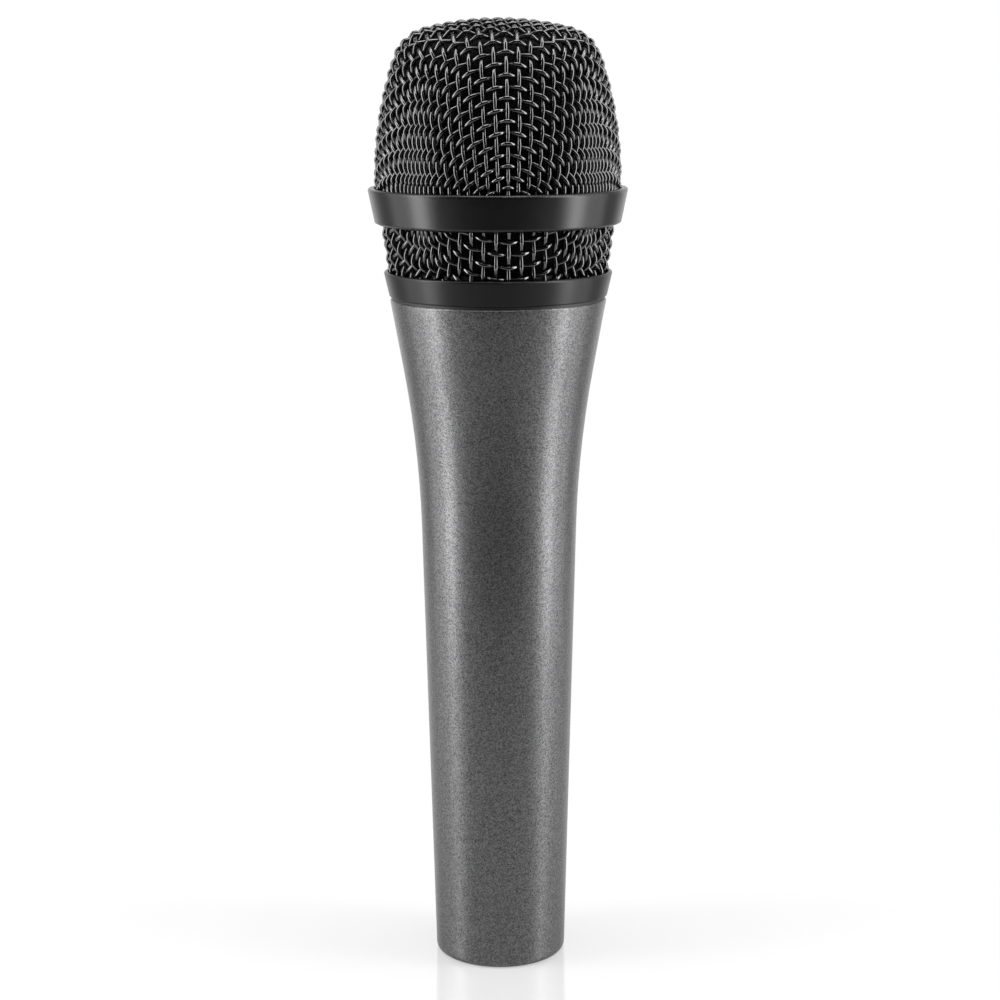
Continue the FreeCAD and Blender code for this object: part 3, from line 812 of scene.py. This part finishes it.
class MIC_OT_cloth(bpy.types.Operator):
    """Weave both wire cloths of the grille"""

    bl_idname = "mic.cloth"
    bl_label = "Wire cloth"

    def execute(self, context):
        sizes = context.scene.mic_cloth
        tree = woven_wire_tree()
        paint = gloss_paint("wire paint", tuple(sizes.paint), 0.12, 1.0, ior=1.7)
        inputs = {"Wire": sizes.wire, "Sides": sizes.sides, "Steps": sizes.steps, "Finish": paint}
        for name, node, runs in self.cloths(sizes):
            for way, lines in zip(("warp", "weft"), runs):
                title = f"{name}_{way}"
                mesh = grown(title, runs_mesh(title, lines), tree, inputs)
                piece = finished(title, "grille", paint, mesh)
                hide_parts(node)
        return {"FINISHED"}

    def cloths(self, sizes):
        """Both cloths: name, node, and the runs of their two ways."""
        front = -math.pi / 2
        spare = 3 * sizes.pitch
        side = outer_line("upper_mesh")
        foot = side[:, 1].min()
        depth = 0.5 * sizes.wire * (3 - sizes.lift)
        dome = inset(evenly(side), depth)
        dome[0, 0] = 0.0
        dome = np.vstack((dome, dome[-1] + (0.0, -spare)))
        turned = front + sizes.upper_turn
        margin = 0.5 * sizes.wire
        bowl = Bowl(dome, 1)
        blank = open_blank(bowl, sizes.squeeze, sizes.flare, sizes.flare_start)
        net = {
            key: (pressed(reach, angle, sizes.squeeze), angle)
            for key, (reach, angle) in quarter_net(blank, sizes.pitch).items()
        }
        upper = cloth_runs(bowl, net, turned, foot + margin, dome[0, 1] + spare, sizes.lift)
        yield "upper_cloth", "upper_mesh", upper

        low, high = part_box("lower_mesh")
        wide = high.x
        narrow = max(r for r, z in profile("lower_mesh") if z <= low.z + 1e-6)
        wall = np.array([(narrow, low.z), (wide, high.z)])
        lean = (wall[1] - wall[0]) / np.linalg.norm(wall[1] - wall[0])
        floor = low.z - sizes.bowl_depth
        knee = wall[0] + lean * ((floor - low.z) / lean[1])
        corner = sizes.bowl_corner
        reach = corner / math.tan((math.pi - math.atan2(lean[1], lean[0])) / 2)
        centre = np.array([knee[0] - reach, floor + corner])
        swing = np.linspace(-math.pi / 2, math.atan2(lean[1], lean[0]) - math.pi / 2, 40)
        bend = centre + corner * np.column_stack((np.cos(swing), np.sin(swing)))
        line = np.vstack(((0.0, floor), bend, wall[1] + lean * spare))
        line = evenly(line)
        line = inset(line[::-1], depth)[::-1]
        line[0, 0] = 0.0
        bowl = Bowl(line, -1)
        net = quarter_net(bowl, sizes.bowl_pitch)
        turned = front + sizes.lower_turn
        lower = cloth_runs(bowl, net, turned, low.z + margin, high.z - margin, sizes.lift)
        yield "lower_cloth", "lower_mesh", lower


class MIC_OT_rings(bpy.types.Operator):
    """Paint the grille's rings, and thread its collar"""

    bl_idname = "mic.rings"
    bl_label = "Grille rings"

    def execute(self, context):
        sizes = context.scene.mic_handle
        black = tuple(context.scene.mic_cloth.paint)
        paint = gloss_paint("ring paint", black, 0.25, 0.5, ior=1.53, edge=0.45 * MM)
        paint_nodes(paint, "band_ring", "clamp_hoop")
        satin = gloss_paint("collar paint", black, 0.3, 0.5, ior=1.45)
        paint_nodes(satin, "grille_collar")
        finished("collar_thread", "grille", paint, self.thread(sizes))
        return {"FINISHED"}

    def thread(self, sizes):
        """A shallow helical rib on the collar's bore."""
        bore = profile("grille_collar")[0][0]
        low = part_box("grille_collar")[0].z + 0.4 * MM
        high = max(z for r, z in profile("grille_collar") if r == bore) - 0.5 * MM
        rib, half, steps = 0.11 * MM, 0.42 * MM, 96
        count = int(steps * (high - low) / sizes.thread_pitch)
        rows = []
        for k in range(count + 1):
            t = 2 * math.pi * k / steps
            height = low + sizes.thread_pitch * k / steps
            fade = min(1.0, k / 12, (count - k) / 12)
            crest, root = bore - rib * fade, bore + 0.02 * MM
            spots = [(root, -half), (crest, -0.12 * MM), (crest, 0.12 * MM), (root, half)]
            rows.append([(r * math.cos(t), r * math.sin(t), height + z) for r, z in spots])
        mesh = grid_mesh("collar_thread", rows, closed_rows=False)
        shell = bmesh.new()
        shell.from_mesh(mesh)
        bmesh.ops.holes_fill(shell, edges=shell.edges, sides=4)
        bmesh.ops.recalc_face_normals(shell, faces=shell.faces)
        shell.to_mesh(mesh)
        shell.free()
        return mesh


class MIC_OT_foam(bpy.types.Operator):
    """Line the grille with open foam"""

    bl_idname = "mic.foam"
    bl_label = "Foam liner"

    def execute(self, context):
        voxel, depth = 0.8 * MM, 0.22 * MM
        blank = bpy.data.objects.new("foam_blank", joined_copy("foam_liner"))
        context.scene.collection.objects.link(blank)
        remesh = blank.modifiers.new("voxels", "REMESH")
        remesh.mode = "VOXEL"
        remesh.voxel_size = voxel
        graph = context.evaluated_depsgraph_get()
        mesh = bpy.data.meshes.new_from_object(blank.evaluated_get(graph))
        bpy.data.objects.remove(blank)
        normals = [v.normal.copy() for v in mesh.vertices]
        for vertex, normal in zip(mesh.vertices, normals):
            pore = noise.noise(vertex.co / (1.1 * MM)) + 0.5 * noise.noise(vertex.co / (0.5 * MM))
            vertex.co -= normal * depth * (0.5 + 0.5 * pore)
        mesh.shade_smooth()
        black = open_foam("black foam", (0.006, 0.006, 0.0065))
        foam = finished("foam_lining", "foam_liner", black, mesh)
        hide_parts("foam_liner")
        return {"FINISHED"}


class MIC_OT_capsule(bpy.types.Operator):
    """Finish the capsule and its rubber rings"""

    bl_idname = "mic.capsule"
    bl_label = "Capsule"

    def execute(self, context):
        sizes = context.scene.mic_capsule
        rubber = moulded("black rubber", (0.014, 0.014, 0.014), 0.68)
        paint_nodes(rubber, "upper_suspension", "lower_suspension")
        plastic = moulded("black moulding", (0.02, 0.02, 0.021), 0.42)
        paint_nodes(plastic, "capsule_housing", "front_cap", "coil_bobbin", "rear_chamber")
        paint_nodes(woven_cloth("screen cloth", (0.11, 0.11, 0.12), 0.3 * MM), "front_screen")
        paint_nodes(turned_metal("clamp alloy", (0.7, 0.7, 0.71), 0.3), "clamp_ring")
        paint_nodes(self.film(), "diaphragm_dome", "diaphragm_surround")
        paint_nodes(turned_metal("yoke steel", (0.56, 0.57, 0.58), 0.26), "magnet_yoke", "pole_piece")
        paint_nodes(turned_metal("magnet plating", (0.42, 0.42, 0.43), 0.22), "magnet")
        paint_nodes(moulded("grey felt", (0.42, 0.40, 0.36), 0.95, 0.4 * MM, 0.15 * MM), "resistance_felt")
        paint_nodes(self.board(), "terminal_board")
        paint_nodes(turned_metal("solder", (0.68, 0.68, 0.68), 0.25, 0.6 * MM), "solder_lugs")
        copper = enamelled("enamelled copper", tuple(sizes.copper))
        paint_nodes(copper, "voice_coil", "hum_coil")
        tree = winding_tree()
        coils = [
            ("hum_coil", "capsule", sizes.hum_wire),
            ("voice_coil", "diaphragm", sizes.voice_wire),
        ]
        for node, body, wire in coils:
            low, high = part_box(node)
            values = {
                "Radius": high.x,
                "Foot": low.z + 0.5 * wire,
                "Height": high.z - low.z - wire,
                "Wire": wire,
                "Finish": copper,
            }
            name = node + "_turns"
            mesh = grown(name, bpy.data.meshes.new(name), tree, values)
            finished(name, body, copper, mesh)
        return {"FINISHED"}

    def film(self):
        """Clear film with a golden cast, and fine pressed wrinkles."""
        material, tree, shader = new_material("diaphragm film", roughness=0.16, coat_weight=0.4)
        wrinkles = grain(tree, place(tree), 0.6 * MM, detail=2.0)
        tree.links.new(
            two_tone(tree, wrinkles, *shades((0.62, 0.5, 0.3), 0.85, 1.15)), shader.inputs["Base Color"]
        )
        bump(tree, shader, wrinkles, 0.02 * MM, 0.5)
        return material

    def board(self):
        """Green resist over the weave of a glass-fibre board."""
        material, tree, shader = new_material("board resist", roughness=0.35, coat_weight=0.3)
        weave = add(
            tree, "ShaderNodeTexChecker", {"Vector": place(tree)}, {"Scale": 1 / (0.4 * MM)}
        ).outputs["Fac"]
        green = two_tone(tree, weave, (0.012, 0.075, 0.03), (0.016, 0.095, 0.04))
        tree.links.new(green, shader.inputs["Base Color"])
        bump(tree, shader, weave, 0.004 * MM, 0.4)
        return material


class MIC_OT_leads(bpy.types.Operator):
    """Run the two leads from the capsule to the contacts"""

    bl_idname = "mic.leads"
    bl_label = "Leads"

    def execute(self, context):
        finishes = {
            "lead_hot": ("lead_red", (0.4, 0.02, 0.02)),
            "lead_cold": ("lead_green", (0.02, 0.16, 0.05)),
        }
        for node, (slot, rgb) in finishes.items():
            mesh = joined_copy(node)
            mesh.shade_smooth()
            lead = bpy.data.objects.new(node + "_wire", mesh)
            context.scene.collection.objects.link(lead)
            mesh.materials.clear()
            mesh.materials.append(moulded(node + " insulation", rgb, 0.4))
            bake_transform(lead)
            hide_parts(node)
        return {"FINISHED"}


class MIC_OT_stage(bpy.types.Operator):
    """Set the floor, the lamps, the world and the camera"""

    bl_idname = "mic.stage"
    bl_label = "Stage"

    def execute(self, context):
        sizes = context.scene.mic_stage
        self.floor(sizes)
        self.world()
        # Each lamp's name, place, size and watts.
        lamps = [
            ("left_box", (-0.67, -0.16, 0.25), (0.22, 1.4), 4.4),
            ("right_box", (0.67, -0.16, 0.25), (0.22, 1.4), 4.4),
            ("left_wing", (-0.72, -0.05, 0.25), (0.80, 1.4), 4.6),
            ("right_wing", (0.72, -0.05, 0.25), (0.80, 1.4), 4.6),
            ("top_box", (0.0, -0.05, 0.80), (0.5, 0.5), 3.2),
        ]
        for name, where, size, power in lamps:
            self.lamp(name, where, size, power)
        eye = bpy.data.cameras.new("camera")
        eye.lens = sizes.lens
        eye.sensor_width = 36
        camera = bpy.data.objects.new("camera", eye)
        camera.location = sizes.camera_place
        camera.rotation_euler = (math.pi / 2 - sizes.camera_fall, sizes.camera_roll, 0)
        context.scene.collection.objects.link(camera)
        context.scene.camera = camera
        context.scene.view_settings.view_transform = "Standard"
        return {"FINISHED"}

    def lamp(self, name, where, size, power):
        """A soft box that faces the middle of the microphone."""
        light = bpy.data.lights.new(name, "AREA")
        light.shape = "RECTANGLE"
        light.size, light.size_y = size
        light.energy = power
        lamp = bpy.data.objects.new(name, light)
        lamp.location = where
        lamp.visible_camera = False
        aim = Vector((0, 0, 0.11)) - Vector(where)
        lamp.rotation_euler = aim.to_track_quat("-Z", "Y").to_euler()
        bpy.context.scene.collection.objects.link(lamp)

    def seen(self, tree, ray):
        """1 for what the camera sees, itself or through glass."""
        return add(
            tree,
            "ShaderNodeMath",
            {0: ray.outputs["Is Camera Ray"], 1: ray.outputs["Is Transmission Ray"]},
            operation="MAXIMUM",
        ).outputs[0]

    def floor(self, sizes):
        """A pale glossy sheet, plain white to the camera except close to the foot."""
        mesh = bpy.data.meshes.new("floor")
        side, front, back = sizes.floor_side, sizes.floor_front, sizes.floor_back
        corners = [(-side, -front, 0), (side, -front, 0), (side, back, 0), (-side, back, 0)]
        mesh.from_pydata(corners, [], [(0, 1, 2, 3)])
        material, tree, shader = new_material("pale floor", roughness=0.07, ior=1.8)
        where = place(tree)
        cloudy = grain(tree, where, 0.4, detail=1.0)
        tree.links.new(
            two_tone(tree, cloudy, *shades(tuple(sizes.floor), 0.995, 1.005)), shader.inputs["Base Color"]
        )
        ray = add(tree, "ShaderNodeLightPath")
        white = (1, 1, 1, 1)
        seen = self.seen(tree, ray)
        shiny = add(
            tree,
            "ShaderNodeMath",
            {0: ray.outputs["Is Glossy Ray"], 2: seen},
            {1: 0.5},
            operation="MULTIPLY_ADD",
        )
        lift = add(
            tree, "ShaderNodeMath", {0: shiny.outputs[0]}, {1: sizes.floor_glow}, operation="MULTIPLY"
        )
        glow = add(tree, "ShaderNodeEmission", {"Strength": lift.outputs[0]}, {"Color": white})
        near = add(tree, "ShaderNodeAddShader", {0: shader.outputs["BSDF"], 1: glow.outputs["Emission"]})
        away = add(tree, "ShaderNodeVectorMath", {0: where}, operation="LENGTH")
        far = spread(tree, away.outputs["Value"], 0, 1, sizes.fade_start, sizes.fade_end)
        fade = add(
            tree, "ShaderNodeMath", {0: far, 1: ray.outputs["Is Camera Ray"]}, operation="MULTIPLY"
        )
        plain = add(tree, "ShaderNodeEmission", values={"Color": white, "Strength": 1.0})
        sheet = add(
            tree,
            "ShaderNodeMixShader",
            {0: fade.outputs[0], 1: near.outputs["Shader"], 2: plain.outputs["Emission"]},
        )
        facing = add(tree, "ShaderNodeNewGeometry")
        clear = add(tree, "ShaderNodeBsdfTransparent")
        both = add(
            tree,
            "ShaderNodeMixShader",
            {0: facing.outputs["Backfacing"], 1: sheet.outputs["Shader"], 2: clear.outputs["BSDF"]},
        )
        tree.links.new(both.outputs["Shader"], tree.nodes["Material Output"].inputs["Surface"])
        mesh.materials.append(material)
        floor = bpy.data.objects.new("floor", mesh)
        bpy.context.scene.collection.objects.link(floor)

    def world(self):
        """White to the camera and through glass, a white wall behind and a dim room in front to gloss."""
        world = bpy.data.worlds.new("studio")
        bpy.context.scene.world = world
        world.use_nodes = True
        tree = world.node_tree
        ray = add(tree, "ShaderNodeLightPath")
        spot = add(tree, "ShaderNodeTexCoord")
        way = add(tree, "ShaderNodeSeparateXYZ", {"Vector": spot.outputs["Generated"]})
        room = spread(tree, way.outputs["Y"], 0.03, 0.30, -0.3, 0.6)
        wall = spread(tree, way.outputs["Y"], 0.0, 0.7, 0.68, 0.88)
        gloss = add(tree, "ShaderNodeMath", {0: room, 1: wall}, operation="ADD").outputs[0]
        soft = add(tree, "ShaderNodeMix", {"Factor": ray.outputs["Is Glossy Ray"], "B": gloss}, {"A": 0.25})
        strength = add(
            tree, "ShaderNodeMix", {"Factor": self.seen(tree, ray), "A": soft.outputs["Result"]}, {"B": 1.0}
        )
        back = tree.nodes["Background"]
        back.inputs["Color"].default_value = (1, 1, 1, 1)
        tree.links.new(strength.outputs["Result"], back.inputs["Strength"])


OPERATORS = (
    MIC_OT_handle,
    MIC_OT_connector,
    MIC_OT_cloth,
    MIC_OT_rings,
    MIC_OT_foam,
    MIC_OT_capsule,
    MIC_OT_leads,
    MIC_OT_stage,
)


class MIC_PT_panel(bpy.types.Panel):
    """The microphone's pieces, and their sizes and colours."""

    bl_idname = "MIC_PT_panel"
    bl_label = "Microphone"
    bl_space_type = "VIEW_3D"
    bl_region_type = "UI"
    bl_category = "Microphone"

    def draw(self, context):
        for operator in OPERATORS:
            self.layout.operator(operator.bl_idname)
        for key in SETTINGS:
            group = getattr(context.scene, key)
            box = self.layout.box()
            for name in group.__annotations__:
                box.prop(group, name)


CLASSES = (*SETTINGS.values(), *OPERATORS, MIC_PT_panel)


def register():
    for each in CLASSES:
        bpy.utils.register_class(each)
    for key, group in SETTINGS.items():
        setattr(bpy.types.Scene, key, PointerProperty(type=group))


def unregister():
    for key in SETTINGS:
        delattr(bpy.types.Scene, key)
    for each in reversed(CLASSES):
        bpy.utils.unregister_class(each)


def main():
    register()
    bpy.ops.mic.handle()
    bpy.ops.mic.connector()
    bpy.ops.mic.cloth()
    bpy.ops.mic.rings()
    bpy.ops.mic.foam()
    bpy.ops.mic.capsule()
    bpy.ops.mic.leads()
    bpy.ops.mic.stage()


if __name__ == "__main__":
    main()
